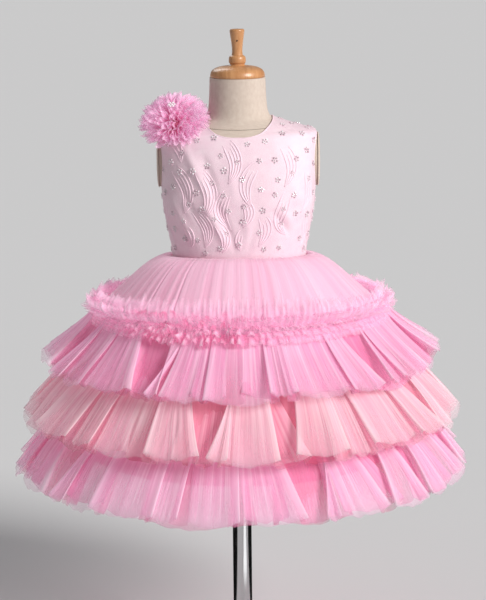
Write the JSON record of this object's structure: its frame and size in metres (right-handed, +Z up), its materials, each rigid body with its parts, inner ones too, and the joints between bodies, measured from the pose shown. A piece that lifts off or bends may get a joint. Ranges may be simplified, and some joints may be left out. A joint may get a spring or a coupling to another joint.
{
  "type": "toddler party dress on a limbless dress form with a stand",
  "caption": "Sleeveless pink party dress with an embroidered satin bodice, gathered tulle tiers and a shoulder flower, worn on a linen dress form with a round stand.",
  "frame": {"origin": "centre of the stand foot's flat underside, on the floor", "axes": "+Z up the stand's pole; -Y is the wearer's front; +X is the wearer's left side"},
  "size_m": [0.5879, 0.5444, 0.8397],
  "materials": {
    "satin": "soft pale pink satin",
    "orchid_tulle": "fine orchid pink net",
    "peach_tulle": "fine peach pink net",
    "blush_tulle": "fine blush pink net",
    "rose_lining": "plain rose lining",
    "linen": "plain cream linen",
    "turned_wood": "clear satin varnish",
    "polished_metal": "polished"
  },
  "bodies": {
    "root": {"bodice_front": "satin", "bodice_back_right": "satin", "bodice_back_left": "satin", "underskirt": "rose_lining", "overskirt": "blush_tulle", "frill": "orchid_tulle", "tier_top": "orchid_tulle", "tier_middle": "peach_tulle", "tier_bottom": "orchid_tulle", "flower": "orchid_tulle", "zip_slider": "polished_metal", "form_torso": "linen", "form_arm_plate_right": "linen", "form_arm_plate_left": "linen", "form_neck_cap": "turned_wood", "stand_socket": "polished_metal", "stand_pole": "polished_metal", "stand_foot": "polished_metal"},
    "zip_pull": {"zip_pull": "polished_metal"}
  },
  "joints": [
    {"name": "zip_pull_swing", "type": "hinge", "parent": "root", "child": "zip_pull", "pos_m": [0, 0.05998, 0.7131], "axis": [1, 0, 0], "range_deg": [0, 150]}
  ]
}
